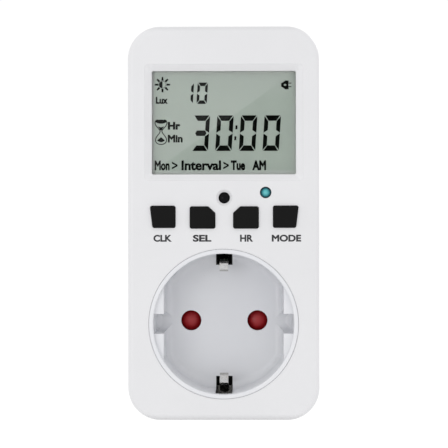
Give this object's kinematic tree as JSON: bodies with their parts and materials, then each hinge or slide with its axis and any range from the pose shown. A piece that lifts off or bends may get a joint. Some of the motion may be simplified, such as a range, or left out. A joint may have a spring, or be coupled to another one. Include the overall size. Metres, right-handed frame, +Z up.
{
  "type": "plug-in timer switch",
  "caption": "Plug-in timer switch with a light sensor: white housing with a display and keys over a shuttered earthed outlet, and a round earthed plug with two pins at the back.",
  "frame": {"origin": "on the axis of the plug and the outlet, in the flat rear face that meets the wall outlet", "axes": "+X to the right of the front, +Y out of the back along the plug pins, +Z up; the display faces -Y"},
  "size_m": [0.053, 0.0727, 0.1091],
  "materials": {
    "white_housing": "moulded, softly glossy white",
    "outlet_plastic": "moulded white, a little cooler than the housing",
    "red_plastic": "moulded dark red, satin",
    "black_key": "moulded black, fine matt texture",
    "clear_window": "clear acrylic, polished",
    "display_glass": "grey-green liquid crystal with dark segments",
    "white_sheet": "white film",
    "white_frame": "moulded white",
    "zebra_rubber": "striped conductive rubber",
    "silicone": "moulded silicone, matt",
    "dark_lens": "dark tinted, polished",
    "sensor_ceramic": "lacquered ceramic",
    "teal_lens": "tinted clear plastic, polished",
    "green_board": "green solder mask over glass fibre",
    "black_resin": "moulded epoxy",
    "metal_can": "nickel-plated can",
    "screw_steel": "zinc-plated steel",
    "header_plastic": "black plastic with tinned pins",
    "carrier_plastic": "grey heat-proof moulding",
    "spring_steel": "blued spring steel",
    "contact_brass": "stamped brass",
    "nickel_plate": "nickel-plated brass, satin",
    "relay_case": "moulded blue",
    "copper_winding": "enamelled copper wire",
    "soft_iron": "plated soft iron",
    "capacitor_box": "moulded yellow box",
    "capacitor_can": "aluminium can in a dark sleeve",
    "varistor_coat": "dipped epoxy",
    "fuse_glass": "glass tube with metal caps",
    "resistor_coat": "lacquered body"
  },
  "bodies": {
    "root": {"backup_battery": "metal_can", "bleed_resistor": "resistor_coat", "board_screws": "screw_steel", "carrier_screws": "screw_steel", "contact_carrier": "carrier_plastic", "control_board": "green_board", "control_chip": "black_resin", "crystal": "metal_can", "display_window": "clear_window", "dropper_capacitor": "capacitor_box", "earth_strap": "nickel_plate", "filter_capacitor": "capacitor_can", "front_cover": "white_housing", "fuse": "fuse_glass", "housing_screws": "screw_steel", "keypad_mat": "silicone", "lcd_frame": "white_frame", "lcd_glass": "display_glass", "link_header": "header_plastic", "live_busbar": "contact_brass", "live_outlet_contact": "contact_brass", "live_plug_pin": "nickel_plate", "neutral_busbar": "contact_brass", "neutral_outlet_contact": "contact_brass", "neutral_plug_pin": "nickel_plate", "photocell": "sensor_ceramic", "photocell_lens": "dark_lens", "pin_retainer": "carrier_plastic", "power_board": "green_board", "power_board_screws": "screw_steel", "rear_cover": "white_housing", "rectifier_diodes": "black_resin", "reflector_sheet": "white_sheet", "relay_base": "carrier_plastic", "relay_coil": "copper_winding", "relay_cover": "relay_case", "relay_terminal": "contact_brass", "relay_transistor": "black_resin", "relay_yoke": "soft_iron", "retainer_screws": "screw_steel", "shutter_spring": "spring_steel", "socket_insert": "outlet_plastic", "status_led": "teal_lens", "varistor": "varistor_coat", "zebra_strip": "zebra_rubber"},
    "set_key": {"set_key": "black_key"},
    "function_key": {"function_key": "black_key"},
    "up_key": {"up_key": "black_key"},
    "down_key": {"down_key": "black_key"},
    "shutter": {"shutter": "red_plastic"},
    "relay_armature": {"relay_armature": "soft_iron", "relay_contact": "contact_brass"}
  },
  "joints": [
    {"name": "set_press", "type": "slide", "parent": "root", "child": "set_key", "axis": [0, 1, 0], "range_m": [0, 0.001], "stiffness_N_per_m": 900, "springref_m": -0.0003, "deforming": ["keypad_mat"]},
    {"name": "function_press", "type": "slide", "parent": "root", "child": "function_key", "axis": [0, 1, 0], "range_m": [0, 0.001], "stiffness_N_per_m": 900, "springref_m": -0.0003, "deforming": ["keypad_mat"]},
    {"name": "up_press", "type": "slide", "parent": "root", "child": "up_key", "axis": [0, 1, 0], "range_m": [0, 0.001], "stiffness_N_per_m": 900, "springref_m": -0.0003, "deforming": ["keypad_mat"]},
    {"name": "down_press", "type": "slide", "parent": "root", "child": "down_key", "axis": [0, 1, 0], "range_m": [0, 0.001], "stiffness_N_per_m": 900, "springref_m": -0.0003, "deforming": ["keypad_mat"]},
    {"name": "shutter_turn", "type": "hinge", "parent": "root", "child": "shutter", "pos_m": [0, 0, 0], "axis": [0, 1, 0], "range_deg": [0, 38], "stiffness_Nm_per_rad": 0.01, "springref_deg": -11.46, "deforming": ["shutter_spring"]},
    {"name": "armature_tilt", "type": "hinge", "parent": "root", "child": "relay_armature", "pos_m": [-0.0096, -0.01805, 0.0619], "axis": [-1, 0, 0], "range_deg": [0, 4], "stiffness_Nm_per_rad": 0.03, "springref_deg": -5.73}
  ]
}
